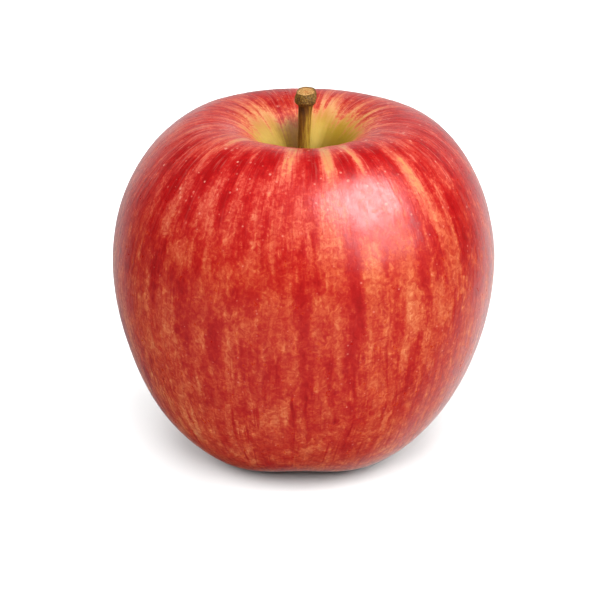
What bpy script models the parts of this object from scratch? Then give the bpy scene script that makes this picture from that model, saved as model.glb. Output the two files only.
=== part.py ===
"""Red dessert apple, 78 mm across, standing upright on the lobes of its base.

Pieces: the fruit, the stem, five dried sepals and the tuft of dried stamens
in the calyx. Lengths below are millimetres; Blender's scene is in metres.
+Z is up, the origin is on the resting plane under the middle of the fruit.

The fruit is a turned meridian, made of four Bezier arcs that meet with level
or upright tangents, and is then shaped by a rule: five lobes that are strong
at the base and faint at the crown, and a slight lean. The lowest part of each
base lobe is settled flat on z = 0.
"""
import math

import bmesh
import bpy
from mathutils import Matrix, Vector

MM = 0.001

# ---- fruit: meridian ------------------------------------------------------
DIAMETER = 78.0         # across the widest girth
WAIST_Z = 40.2          # height of the widest girth
CROWN_Z = 70.5          # height of the ridge round the stem cavity
CROWN_R = 19.0          # radius of that ridge
FOOT_R = 15.5           # radius of the ring on which the fruit stands
SHOULDER_OUT = 11.0     # how far the crown runs level outwards
SHOULDER_UP = 15.5      # how far the waist runs upright upwards
FLANK_DOWN = 14.6       # how far the waist runs upright downwards
FLANK_OUT = 15.4        # how far the foot runs level outwards

# ---- fruit: stem cavity ---------------------------------------------------
CAVITY_FLOOR_Z = 55.0
CAVITY_FLOOR_R = 1.5
CAVITY_ROUND = 12.0     # how far the crown runs level inwards
CAVITY_FUNNEL = 3.0     # how far the floor spreads before the wall climbs
SOCKET_R = 1.35         # hole that the stem stands in
SOCKET_DEPTH = 2.6

# ---- fruit: calyx basin ---------------------------------------------------
BASIN_Z = 7.4           # height of the basin's floor
BASIN_R = 2.9           # radius of the mouth of the calyx tube
TUBE_Z = 11.6           # top of the calyx tube
TUBE_R = 2.0

# ---- fruit: lobes and lean ------------------------------------------------
LOBES = 5
LOBE_AT = math.radians(90.0)
FOOT_LOBE = 1.1         # how far the foot rises between two lobes
FOOT_REACH = 14.0
CROWN_LOBE = 0.15
CROWN_REACH = 14.0
WAIST_LOBE = 0.10
LEAN = 0.011            # sideways per unit of height, towards +X
SETTLE = 0.30           # depth of the small flats under the lobes

# ---- stem -----------------------------------------------------------------
STEM_GAP = 0.3          # clearance to the socket
STEM_TOP_Z = 76.1       # middle of the cut face
STEM_TOP_X = 0.66
STEM_TOP_Y = 0.25
STEM_FOOT_R = 1.02
STEM_SHAFT_R = 1.22
STEM_NECK_R = 1.38
KNOB_R = 2.12
KNOB_LENGTH = 3.3
CUT_R = 1.92
CUT_TILT = math.radians(10.0)   # the cut face dips towards -Y

# ---- sepals ---------------------------------------------------------------
SEPALS = 5
SEPAL_LENGTH = 6.4
SEPAL_WIDTH = 2.5
SEPAL_THICK = 0.5
SEPAL_FOOT_R = 3.35
SEPAL_FOOT_Z = 6.75

# ---- stamens --------------------------------------------------------------
TUFT_R = 1.35
TUFT_Z = 9.2
FILAMENTS = 9
FILAMENT_LENGTH = 4.2

# ---- fineness -------------------------------------------------------------
AROUND = 60             # a multiple of five, so that each lobe has a middle row


def clear_scene():
    for obj in list(bpy.data.objects):
        bpy.data.objects.remove(obj, do_unlink=True)


def material(name, colour, roughness, coat=0.0):
    mat = bpy.data.materials.new(name)
    mat.use_nodes = True
    shader = mat.node_tree.nodes["Principled BSDF"]
    shader.inputs["Base Color"].default_value = (*colour, 1.0)
    shader.inputs["Roughness"].default_value = roughness
    shader.inputs["Metallic"].default_value = 0.0
    shader.inputs["Coat Weight"].default_value = coat
    mat.diffuse_color = (*colour, 1.0)
    return mat


def smoothstep(t):
    t = min(1.0, max(0.0, t))
    return t * t * (3.0 - 2.0 * t)


def arc(start, handle, other_handle, end, count, crowd_start=1.0, crowd_end=1.0):
    """Points (r, z) of one Bezier arc, without its first point. A crowding
    above 1 draws the points closer together towards that end."""
    points = []
    for i in range(1, count + 1):
        t = 1.0 - (1.0 - (i / count) ** crowd_start) ** crowd_end
        weights = ((1 - t) ** 3, 3 * t * (1 - t) ** 2, 3 * t * t * (1 - t), t ** 3)
        corners = (start, handle, other_handle, end)
        points.append(tuple(sum(w * c[k] for w, c in zip(weights, corners)) for k in (0, 1)))
    return points


def fruit_meridian():
    """(r, z) from the floor of the stem socket, over the crown, round the
    waist and the foot, to the top of the calyx tube."""
    waist_r = DIAMETER / 2
    line = [
        (0.0, CAVITY_FLOOR_Z - SOCKET_DEPTH),
        (SOCKET_R, CAVITY_FLOOR_Z - SOCKET_DEPTH),
        (SOCKET_R, CAVITY_FLOOR_Z - 0.2),
        (CAVITY_FLOOR_R, CAVITY_FLOOR_Z),
    ]
    line += arc(
        (CAVITY_FLOOR_R, CAVITY_FLOOR_Z),
        (CAVITY_FLOOR_R + CAVITY_FUNNEL, CAVITY_FLOOR_Z + 1.0),
        (CROWN_R - CAVITY_ROUND, CROWN_Z),
        (CROWN_R, CROWN_Z),
        12,
    )
    line += arc(
        (CROWN_R, CROWN_Z),
        (CROWN_R + SHOULDER_OUT, CROWN_Z),
        (waist_r, WAIST_Z + SHOULDER_UP),
        (waist_r, WAIST_Z),
        12,
    )
    line += arc(
        (waist_r, WAIST_Z),
        (waist_r, WAIST_Z - FLANK_DOWN),
        (FOOT_R + FLANK_OUT, 0.0),
        (FOOT_R, 0.0),
        17,
        crowd_end=1.35,
    )
    line += arc(
        (FOOT_R, 0.0),
        (FOOT_R - 6.0, 0.0),
        (BASIN_R + 3.0, BASIN_Z - 0.4),
        (BASIN_R, BASIN_Z),
        10,
        crowd_start=1.2,
    )
    line += [(TUBE_R, BASIN_Z + 1.6), (TUBE_R * 0.8, TUBE_Z - 0.6), (0.0, TUBE_Z)]
    return line


def shaped(r, z, angle):
    """The point of the fruit's skin that the turned point becomes."""
    wave = math.cos(LOBES * (angle - LOBE_AT))
    foot = math.exp(-((z / FOOT_REACH) ** 2)) * smoothstep(r / FOOT_R)
    crown = math.exp(-(((z - CROWN_Z) / CROWN_REACH) ** 2)) * smoothstep(r / CROWN_R)
    r = r + WAIST_LOBE * wave * (2.0 * r / DIAMETER) ** 2
    z = z + FOOT_LOBE * (1.0 - wave) / 2.0 * foot + CROWN_LOBE * wave * crown
    z = max(0.0, z - SETTLE)
    x = r * math.cos(angle) + LEAN * (z - WAIST_Z)
    return Vector((x, r * math.sin(angle), z))


def mesh_object(name, bm, mat):
    bmesh.ops.recalc_face_normals(bm, faces=bm.faces)
    mesh = bpy.data.meshes.new(name)
    bm.to_mesh(mesh)
    bm.free()
    mesh.materials.append(mat)
    mesh.shade_smooth()
    mesh.set_sharp_from_angle(angle=math.radians(50))
    obj = bpy.data.objects.new(name, mesh)
    bpy.context.scene.collection.objects.link(obj)
    return obj


def make_fruit():
    bm = bmesh.new()
    line = [bm.verts.new((r, 0.0, z)) for r, z in fruit_meridian()]
    edges = [bm.edges.new(pair) for pair in zip(line, line[1:])]
    bmesh.ops.spin(
        bm,
        geom=line + edges,
        cent=(0.0, 0.0, 0.0),
        axis=(0.0, 0.0, 1.0),
        angle=2.0 * math.pi,
        steps=AROUND,
        use_duplicate=False,
    )
    bmesh.ops.remove_doubles(bm, verts=bm.verts, dist=1e-4)
    for vert in bm.verts:
        r = math.hypot(vert.co.x, vert.co.y)
        angle = math.atan2(vert.co.y, vert.co.x) if r > 1e-6 else LOBE_AT
        vert.co = shaped(r, vert.co.z, angle) * MM
    return mesh_object("fruit", bm, material("apple_skin", (0.55, 0.045, 0.03), 0.33, 0.3))


def loft(bm, rings):
    """Skin a list of closed rings of points and cap both ends."""
    rows = [[bm.verts.new(p) for p in ring] for ring in rings]
    for lower, upper in zip(rows, rows[1:]):
        for i in range(len(lower)):
            j = (i + 1) % len(lower)
            bm.faces.new((lower[i], lower[j], upper[j], upper[i]))
    bm.faces.new(rows[0][::-1])
    bm.faces.new(rows[-1])


def make_stem():
    foot_z = CAVITY_FLOOR_Z - SOCKET_DEPTH - SETTLE + STEM_GAP
    foot_x = LEAN * (foot_z - WAIST_Z)
    neck_z = STEM_TOP_Z - KNOB_LENGTH
    # (height, radius) of the shaft, the flare of the knob and its upper edge
    stations = [
        (foot_z, STEM_FOOT_R * 0.85),
        (foot_z + 0.5, STEM_FOOT_R),
        (foot_z + 5.0, STEM_FOOT_R),
        (foot_z + 9.0, (STEM_FOOT_R + STEM_SHAFT_R) / 2),
        (foot_z + 13.0, STEM_SHAFT_R),
        (neck_z - 3.0, (STEM_SHAFT_R + STEM_NECK_R) / 2),
        (neck_z - 0.6, STEM_NECK_R),
        (neck_z + 0.4, STEM_NECK_R * 1.14),
        (neck_z + 1.0, KNOB_R * 0.95),
        (neck_z + 1.6, KNOB_R),
        (STEM_TOP_Z - 0.7, CUT_R * 1.05),
        (STEM_TOP_Z - 0.15, CUT_R),
        (STEM_TOP_Z, CUT_R * 0.93),
    ]
    rings = []
    for z, radius in stations:
        along = (z - foot_z) / (STEM_TOP_Z - foot_z)
        bow = 0.18 * math.sin(math.pi * along)
        middle = Vector((foot_x + (STEM_TOP_X - foot_x) * along - bow, STEM_TOP_Y * along, z))
        tilt = CUT_TILT * smoothstep((z - neck_z) / KNOB_LENGTH)
        turn = Matrix.Rotation(tilt, 3, "X")
        ring = []
        for i in range(20):
            angle = 2.0 * math.pi * i / 20
            reach = radius * (1.0 + 0.03 * math.cos(3 * angle + 0.6))
            ring.append((middle + turn @ Vector((reach * math.cos(angle), reach * math.sin(angle), 0.0))) * MM)
        rings.append(ring)
    bm = bmesh.new()
    loft(bm, rings)
    return mesh_object("stem", bm, material("stem_bark", (0.18, 0.12, 0.03), 0.6))


def sepal_mesh():
    """One sepal along +X from the axis: it leaves the lip of the calyx tube,
    leans in over the mouth and curls out again at its tip."""
    stations = 9
    across = 4
    bm = bmesh.new()
    rings = []
    for i in range(stations):
        t = i / (stations - 1)
        reach = SEPAL_FOOT_R - 1.35 * math.sin(math.pi * min(1.0, t * 1.15) * 0.62) + 1.5 * smoothstep((t - 0.6) / 0.4)
        height = SEPAL_FOOT_Z - 0.72 * SEPAL_LENGTH * t + 0.5 * smoothstep((t - 0.75) / 0.25)
        half = SEPAL_WIDTH / 2 * (1.0 - 0.86 * t ** 1.3)
        thick = SEPAL_THICK * (1.0 - 0.45 * t)
        outer, inner = [], []
        for j in range(across + 1):
            s = 2.0 * j / across - 1.0
            cup = 0.35 * half * s * s
            edge = thick / 2 * (1.0 - 0.55 * abs(s))
            outer.append(Vector((reach + edge - cup, half * s, height)) * MM)
            inner.append(Vector((reach - edge - cup, half * s, height)) * MM)
        rings.append(outer + inner[::-1])
    loft(bm, rings)
    return bm


def make_sepals():
    mat = material("dry_sepal", (0.16, 0.10, 0.05), 0.8)
    middle_x = LEAN * (SEPAL_FOOT_Z - WAIST_Z) * MM
    first = mesh_object("sepal_1", sepal_mesh(), mat)
    made = [first]
    for i in range(1, SEPALS):
        copy = bpy.data.objects.new("sepal_%d" % (i + 1), first.data)
        bpy.context.scene.collection.objects.link(copy)
        made.append(copy)
    for i, sepal in enumerate(made):
        sepal.location = (middle_x, 0.0, 0.0)
        sepal.rotation_euler = (0.0, 0.0, LOBE_AT + 2.0 * math.pi * (i + 0.5) / SEPALS)
    return made


def make_stamens():
    """A small boss deep in the calyx tube, with dried filaments hanging from
    its lower face."""
    bm = bmesh.new()
    rings = []
    for z, radius in ((TUFT_Z + 0.9, TUFT_R * 0.7), (TUFT_Z + 0.5, TUFT_R), (TUFT_Z, TUFT_R)):
        rings.append(
            [
                Vector((radius * math.cos(2 * math.pi * i / 18), radius * math.sin(2 * math.pi * i / 18), z)) * MM
                for i in range(18)
            ]
        )
    loft(bm, rings)
    boss = mesh_object("stamen_tuft", bm, material("dry_stamen", (0.10, 0.06, 0.03), 0.85))
    filaments = []
    for k in range(FILAMENTS):
        angle = 2.4 * k
        ring_r = TUFT_R * 0.62 * math.sqrt((k + 0.5) / FILAMENTS)
        length = FILAMENT_LENGTH * (0.75 + 0.25 * math.cos(1.9 * k))
        bm = bmesh.new()
        rings = []
        for t in (-0.12, 0.25, 0.5, 0.75, 0.93, 1.0):
            radius = 0.15 if t < 0.7 else (0.22 if t < 0.95 else 0.1)
            spread = ring_r * (1.0 - 0.25 * max(t, 0.0))
            sway = 0.14 * math.sin(3.0 * t + k)
            rings.append(
                [
                    Vector(
                        (
                            spread * math.cos(angle) + sway + radius * math.cos(math.pi * i / 3),
                            spread * math.sin(angle) + radius * math.sin(math.pi * i / 3),
                            TUFT_Z - length * t,
                        )
                    )
                    * MM
                    for i in range(6)
                ]
            )
        loft(bm, rings)
        filament = mesh_object("filament_%d" % k, bm, boss.data.materials[0])
        filament.hide_render = True
        filament.display_type = "WIRE"
        filaments.append(filament)
    for filament in filaments:
        join = boss.modifiers.new(filament.name, "BOOLEAN")
        join.operation = "UNION"
        join.solver = "EXACT"
        join.object = filament
    shift = LEAN * (TUFT_Z - WAIST_Z) * MM
    for obj in [boss] + filaments:
        obj.location.x = shift
    return boss


def main():
    clear_scene()
    make_fruit()
    make_stem()
    make_sepals()
    make_stamens()


main()
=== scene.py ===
"""Looks of the red apple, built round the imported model.

The fruit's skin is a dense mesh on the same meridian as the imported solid, with
the undulations, flutes and pores of a real skin. Its colour is a pigment
density worked out in the skin's own coordinates: the angle round the stem and
the distance along the meridian.
"""
import math

import bpy
import numpy as np
from mathutils import Matrix, Vector, noise


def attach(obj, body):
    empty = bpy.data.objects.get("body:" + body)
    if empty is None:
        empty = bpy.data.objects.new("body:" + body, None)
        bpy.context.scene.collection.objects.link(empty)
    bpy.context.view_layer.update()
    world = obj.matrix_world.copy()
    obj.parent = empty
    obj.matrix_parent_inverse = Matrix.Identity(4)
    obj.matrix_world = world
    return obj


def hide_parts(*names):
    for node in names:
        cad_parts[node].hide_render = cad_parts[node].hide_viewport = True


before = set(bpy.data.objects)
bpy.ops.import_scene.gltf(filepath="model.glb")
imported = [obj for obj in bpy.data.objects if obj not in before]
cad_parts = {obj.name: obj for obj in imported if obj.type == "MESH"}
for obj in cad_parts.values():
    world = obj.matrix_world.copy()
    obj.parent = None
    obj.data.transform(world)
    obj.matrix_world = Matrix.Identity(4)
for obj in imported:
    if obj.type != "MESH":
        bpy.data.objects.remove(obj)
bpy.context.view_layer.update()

MM = 0.001

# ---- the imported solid's dimensions, millimetres ----------------------------
WAIST_R, WAIST_Z = 39.0, 40.2
CROWN_Z, CROWN_R = 70.5, 19.0
FOOT_R = 15.5
SHOULDER_OUT, SHOULDER_UP = 11.0, 15.5
FLANK_DOWN, FLANK_OUT = 14.6, 15.4
CAVITY_FLOOR_Z, CAVITY_FLOOR_R = 55.0, 1.5
CAVITY_ROUND, CAVITY_FUNNEL = 12.0, 3.0
SOCKET_R, SOCKET_DEPTH = 1.35, 2.6
BASIN_Z, BASIN_R = 7.4, 2.9
TUBE_Z, TUBE_R = 11.6, 2.0
LOBES, LOBE_AT = 5, math.radians(90.0)
FOOT_LOBE, FOOT_REACH = 1.1, 14.0
CROWN_LOBE, CROWN_REACH = 0.15, 14.0
WAIST_LOBE, LEAN, SETTLE = 0.10, 0.011, 0.30
STEM_GAP = 0.3
STEM_TOP_X, STEM_TOP_Y, STEM_TOP_Z = 0.66, 0.25, 76.1
STEM_FOOT_R, STEM_SHAFT_R, STEM_NECK_R = 1.02, 1.22, 1.38
KNOB_R, KNOB_LENGTH = 2.12, 3.3
CUT_R, CUT_TILT = 1.92, math.radians(10.0)
SEPALS, SEPAL_LENGTH, SEPAL_WIDTH, SEPAL_THICK = 5, 6.4, 2.5, 0.5
SEPAL_FOOT_R, SEPAL_FOOT_Z = 3.35, 6.75
TUFT_R, TUFT_Z, FILAMENT_LENGTH = 1.35, 9.2, 4.2


# ============================================================================
# small helpers
# ============================================================================
def srgb(r, g, b):
    """A colour given as 0-255 display values, as the linear values Blender takes."""
    out = []
    for c in (r, g, b):
        c = c / 255.0
        out.append(c / 12.92 if c <= 0.04045 else ((c + 0.055) / 1.055) ** 2.4)
    return (*out, 1.0)


def smooth(t):
    t = np.clip(t, 0.0, 1.0)
    return t * t * (3.0 - 2.0 * t)


def arc(a, b, c, d, n=400):
    t = np.linspace(0.0, 1.0, n)[:, None]
    a, b, c, d = (np.array(p, float) for p in (a, b, c, d))
    return (1 - t) ** 3 * a + 3 * (1 - t) ** 2 * t * b + 3 * (1 - t) * t * t * c + t ** 3 * d


def encloses(verts, faces):
    """Six times the volume that the faces enclose: negative where they face inwards."""
    whole = 0.0
    for size in (3, 4):
        corners = np.array([face for face in faces if len(face) == size]).reshape(-1, size)
        for k in range(1, size - 1):
            a, b, c = (verts[corners[:, i]] for i in (0, k, k + 1))
            whole += float((a * np.cross(b, c)).sum())
    return whole


def grid_object(name, points, closed_start, closed_end, material, halves=1):
    """A closed skin over rows of points (rows, columns, 3), in millimetres,
    with a fan of triangles at each closed end. Its map is laid out in one band
    for each of the halves that the rows are cut into round the axis."""
    rows, cols, _ = points.shape
    verts = points.reshape(-1, 3) * MM
    i = np.arange(rows - 1)[:, None] * cols
    j = np.arange(cols)[None, :]
    k = (j + 1) % cols
    faces = np.stack([i + j, i + k, i + cols + k, i + cols + j], -1).reshape(-1, 4).tolist()
    step = np.arange(cols)
    band = step * halves // cols
    left = (step - band * cols / halves) / (cols / halves) * 0.98 + 0.01
    right = left + 0.98 * halves / cols
    height = (0.03 + 0.94 * np.linspace(0.0, 1.0, rows)) / halves
    uv = np.zeros((rows - 1, cols, 4, 2))
    uv[:, :, 0, 0] = uv[:, :, 3, 0] = left
    uv[:, :, 1, 0] = uv[:, :, 2, 0] = right
    uv[:, :, 0, 1] = uv[:, :, 1, 1] = height[:-1, None] + band / halves
    uv[:, :, 2, 1] = uv[:, :, 3, 1] = height[1:, None] + band / halves
    maps = [uv.reshape(-1, 2)]
    for closed, base, flip in ((closed_start, 0, True), (closed_end, (rows - 1) * cols, False)):
        if not closed:
            continue
        centre = len(verts)
        verts = np.vstack([verts, verts[base:base + cols].mean(0)])
        edge = height[0] if flip else height[-1]
        tip = edge - 0.015 / halves if flip else edge + 0.015 / halves
        for c in range(cols):
            a, b = base + c, base + (c + 1) % cols
            faces.append((centre, b, a) if flip else (centre, a, b))
            ua, ub = (right[c], left[c]) if flip else (left[c], right[c])
            over = band[c] / halves
            maps.append(np.array([((ua + ub) / 2, tip + over), (ua, edge + over), (ub, edge + over)]))
    if encloses(verts, faces) < 0.0:                       # turn every face outwards
        faces = [face[::-1] for face in faces]
        maps = [maps[0].reshape(-1, 4, 2)[:, ::-1].reshape(-1, 2)] + [fan[::-1] for fan in maps[1:]]
    mesh = bpy.data.meshes.new(name)
    mesh.from_pydata(verts.tolist(), [], faces)
    mesh.update()
    mesh.shade_smooth()
    mesh.uv_layers.new(name="OFBake").data.foreach_set("uv", np.vstack(maps).astype(np.float32).ravel())
    mesh.materials.append(material)
    obj = bpy.data.objects.new(name, mesh)
    bpy.context.scene.collection.objects.link(obj)
    return obj


def ends(values, cols, closed_start=True, closed_end=True):
    """A value for each point of the rows, and the mean of the end rows for the fans' centres."""
    values = np.asarray(values, float)
    extra = []
    if closed_start:
        extra.append(values[:cols].mean(0))
    if closed_end:
        extra.append(values[-cols:].mean(0))
    return np.concatenate([values, np.array(extra)]) if extra else values


def point_floats(mesh, name, values):
    layer = mesh.attributes.new(name, "FLOAT", "POINT")
    layer.data.foreach_set("value", np.asarray(values, np.float32))


def point_vectors(mesh, name, values):
    layer = mesh.attributes.new(name, "FLOAT_VECTOR", "POINT")
    layer.data.foreach_set("vector", np.asarray(values, np.float32).ravel())


def noise_field(points, scale, seed=0.0):
    """Perlin noise at each row of points (millimetres), about -1 to 1."""
    shift = Vector((seed * 17.3, seed * 7.1, seed * 3.7))
    return np.array([noise.noise(Vector(p) * scale + shift) for p in points])


class Nodes:
    """A short way to write a material's node tree."""

    def __init__(self, name):
        self.mat = bpy.data.materials.new(name)
        self.mat.use_nodes = True
        self.tree = self.mat.node_tree
        self.tree.nodes.clear()
        self.out = self.tree.nodes.new("ShaderNodeOutputMaterial")

    def node(self, kind, inputs=None, **props):
        n = self.tree.nodes.new(kind)
        for key, value in props.items():
            setattr(n, key, value)
        for key, value in (inputs or {}).items():
            self.put(n.inputs[key], value)
        return n

    def put(self, socket, value):
        if isinstance(value, bpy.types.NodeSocket):
            self.tree.links.new(value, socket)
        elif value is not None:
            socket.default_value = value

    def attribute(self, name, output="Fac"):
        return self.node("ShaderNodeAttribute", attribute_name=name).outputs[output]

    def math(self, operation, a, b=None, c=None, clamp=False):
        n = self.node("ShaderNodeMath", operation=operation, use_clamp=clamp)
        for i, value in enumerate((a, b, c)):
            if value is not None:
                self.put(n.inputs[i], value)
        return n.outputs[0]

    def vec(self, operation, a, b=None, scale=None):
        n = self.node("ShaderNodeVectorMath", operation=operation)
        self.put(n.inputs[0], a)
        if b is not None:
            self.put(n.inputs[1], b)
        if scale is not None:
            self.put(n.inputs["Scale"], scale)
        return n.outputs[0]

    def noise(self, vector, scale=1.0, detail=2.0, rough=0.5, distortion=0.0, output="Fac"):
        n = self.node(
            "ShaderNodeTexNoise",
            {"Vector": vector, "Scale": scale, "Detail": detail, "Roughness": rough, "Distortion": distortion},
        )
        return n.outputs[output]

    def ramp(self, factor, stops, mode="LINEAR"):
        n = self.node("ShaderNodeValToRGB", {"Fac": factor})
        n.color_ramp.interpolation = mode
        line = n.color_ramp.elements
        while len(line) < len(stops):
            line.new(0.5)
        for element, (at, colour) in zip(line, stops):
            element.position = at
            element.color = colour if len(colour) == 4 else (*colour, 1.0)
        return n.outputs[0]

    def span(self, value, lo, hi, to_lo=0.0, to_hi=1.0, kind="SMOOTHSTEP"):
        n = self.node("ShaderNodeMapRange", interpolation_type=kind)
        for i, v in enumerate((value, lo, hi, to_lo, to_hi)):
            self.put(n.inputs[i], v)
        return n.outputs[0]

    def mix(self, factor, a, b, blend="MIX"):
        n = self.node("ShaderNodeMix", data_type="RGBA", blend_type=blend)
        self.put(n.inputs[0], factor)
        self.put(n.inputs[6], a)
        self.put(n.inputs[7], b)
        return n.outputs[2]

    def total(self, *values):
        value = values[0]
        for other in values[1:]:
            value = self.math("ADD", value, other)
        return value

    def finish(self, colour, roughness, normal=None, **constants):
        n = self.node("ShaderNodeBsdfPrincipled")
        self.put(n.inputs["Base Color"], colour)
        self.put(n.inputs["Roughness"], roughness)
        if normal is not None:
            self.put(n.inputs["Normal"], normal)
        for key, value in constants.items():
            n.inputs[key.replace("_", " ")].default_value = value
        self.tree.links.new(n.outputs[0], self.out.inputs["Surface"])
        return self.mat


# ============================================================================
# the fruit
# ============================================================================
def meridian():
    """(r, z) along the skin from the stem's socket to the calyx tube, dense."""
    floor_z = CAVITY_FLOOR_Z - SOCKET_DEPTH
    parts = [
        arc((0.06, floor_z), (0.5, floor_z), (0.9, floor_z), (SOCKET_R - 0.15, floor_z), 60),
        arc((SOCKET_R - 0.15, floor_z), (SOCKET_R, floor_z), (SOCKET_R, floor_z), (SOCKET_R, floor_z + 0.3), 30),
        arc((SOCKET_R, floor_z + 0.3), (SOCKET_R, floor_z + 1), (SOCKET_R, CAVITY_FLOOR_Z - 1), (SOCKET_R, CAVITY_FLOOR_Z - 0.2), 60),
        arc(
            (SOCKET_R, CAVITY_FLOOR_Z - 0.2),
            (SOCKET_R, CAVITY_FLOOR_Z - 0.1),
            (CAVITY_FLOOR_R - 0.1, CAVITY_FLOOR_Z),
            (CAVITY_FLOOR_R, CAVITY_FLOOR_Z),
            30,
        ),
        arc(
            (CAVITY_FLOOR_R, CAVITY_FLOOR_Z),
            (CAVITY_FLOOR_R + CAVITY_FUNNEL, CAVITY_FLOOR_Z + 1.0),
            (CROWN_R - CAVITY_ROUND, CROWN_Z),
            (CROWN_R, CROWN_Z),
        ),
        arc(
            (CROWN_R, CROWN_Z),
            (CROWN_R + SHOULDER_OUT, CROWN_Z),
            (WAIST_R, WAIST_Z + SHOULDER_UP),
            (WAIST_R, WAIST_Z),
        ),
        arc(
            (WAIST_R, WAIST_Z),
            (WAIST_R, WAIST_Z - FLANK_DOWN),
            (FOOT_R + FLANK_OUT, 0.0),
            (FOOT_R, 0.0),
        ),
        arc((FOOT_R, 0.0), (FOOT_R - 6.0, 0.0), (BASIN_R + 3.0, BASIN_Z - 0.4), (BASIN_R, BASIN_Z)),
        arc((BASIN_R, BASIN_Z), (BASIN_R - 0.8, BASIN_Z + 0.2), (TUBE_R, BASIN_Z + 1.0), (TUBE_R * 0.8, TUBE_Z - 0.6), 60),
    ]
    line = np.vstack([parts[0]] + [p[1:] for p in parts[1:]])
    # ease the small changes of curvature where two arcs meet, outside the socket
    socket = sum(len(p) for p in parts[:4]) - 3
    soft = line.copy()
    for _ in range(60):
        soft[socket:-1] = (soft[socket - 1:-2] + 2 * soft[socket:-1] + soft[socket + 1:]) / 4
    return soft, socket


LINE, SOCKET = meridian()
STEP = np.hypot(*np.diff(LINE, axis=0).T)
LINE_S = np.concatenate([[0.0], np.cumsum(STEP)])
LINE_S -= LINE_S[SOCKET - 1]          # distances are measured from the cavity's floor
LENGTH = LINE_S[-1]


def at_s(s):
    return np.interp(s, LINE_S, LINE[:, 0]), np.interp(s, LINE_S, LINE[:, 1])


def shaped(r, z, angle):
    """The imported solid's rule: lobes, lean and settled foot, millimetres."""
    wave = np.cos(LOBES * (angle - LOBE_AT))
    foot = np.exp(-((z / FOOT_REACH) ** 2)) * smooth(r / FOOT_R)
    crown = np.exp(-(((z - CROWN_Z) / CROWN_REACH) ** 2)) * smooth(r / CROWN_R)
    r = r + WAIST_LOBE * wave * (r / WAIST_R) ** 2
    z = z + FOOT_LOBE * (1.0 - wave) / 2.0 * foot + CROWN_LOBE * wave * crown
    z = np.maximum(0.0, z - SETTLE)
    return np.stack([r * np.cos(angle) + LEAN * (z - WAIST_Z), r * np.sin(angle), z], -1)


ROWS, COLUMNS = 244, 400
S_ROW = np.concatenate([np.linspace(LINE_S[0], -0.4, 9), np.linspace(0.0, LENGTH, ROWS - 9)])
ANGLE = np.arange(COLUMNS) / COLUMNS * 2.0 * math.pi
s_grid, a_grid = np.meshgrid(S_ROW, ANGLE, indexing="ij")
r_grid, z_grid = at_s(s_grid)
skin = shaped(r_grid, z_grid, a_grid)

along = np.gradient(skin, axis=0)
around = (np.roll(skin, -1, axis=1) - np.roll(skin, 1, axis=1)) / 2
normal = np.cross(around, along)
normal /= np.linalg.norm(normal, axis=-1, keepdims=True) + 1e-12
if (normal[ROWS // 2, :, :2] * skin[ROWS // 2, :, :2]).sum() < 0:
    normal = -normal

flat = skin.reshape(-1, 3)
lumps = noise_field(flat, 0.045, 1.0) * 0.5 + 0.5
swells = noise_field(flat, 0.13, 2.0) * 0.5 + 0.5
ring = np.stack([np.cos(a_grid), np.sin(a_grid), s_grid / WAIST_R], -1).reshape(-1, 3)
flutes = noise_field(ring * np.array([7.0, 7.0, 0.9]), 1.0, 3.0) * 0.5 + 0.5
ripples = noise_field(ring * np.array([30.0, 30.0, 5.0]), 1.0, 4.0) * 0.5 + 0.5
peel = noise_field(flat, 0.62, 5.0) * 0.5 + 0.5
crease = np.exp(-(((s_grid - 14.0) / 12.0) ** 2)).ravel()
calm = (smooth((skin[..., 2] - 0.4) / 4.0) * smooth(s_grid / 3.0)).ravel()
relief = 0.30 * lumps + 0.14 * swells + (0.05 + 0.16 * crease) * flutes + 0.015 * ripples + 0.032 * peel
relief = relief - relief.mean() * 0.82
# broad flats of a grown fruit: (degrees round from the front, distance along the meridian, depth), millimetres
for at, where, deep, wide, tall in (
    (-98, 36, 0.50, 30, 9), (178, 27, 0.55, 26, 9), (-150, 70, 0.40, 24, 15), (-90, 84, 0.44, 42, 11), (88, 71, -0.28, 50, 20), (135, 46, 0.22, 24, 13)
):
    turn = (a_grid - math.radians(at - 90.0) + math.pi) % (2 * math.pi) - math.pi
    dent = deep * np.exp(-((turn / math.radians(wide)) ** 2) - (((s_grid - where) / tall) ** 2))
    relief = relief + dent.ravel()
relief = (relief * calm).reshape(s_grid.shape)
skin = skin - normal * relief[..., None]


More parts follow.
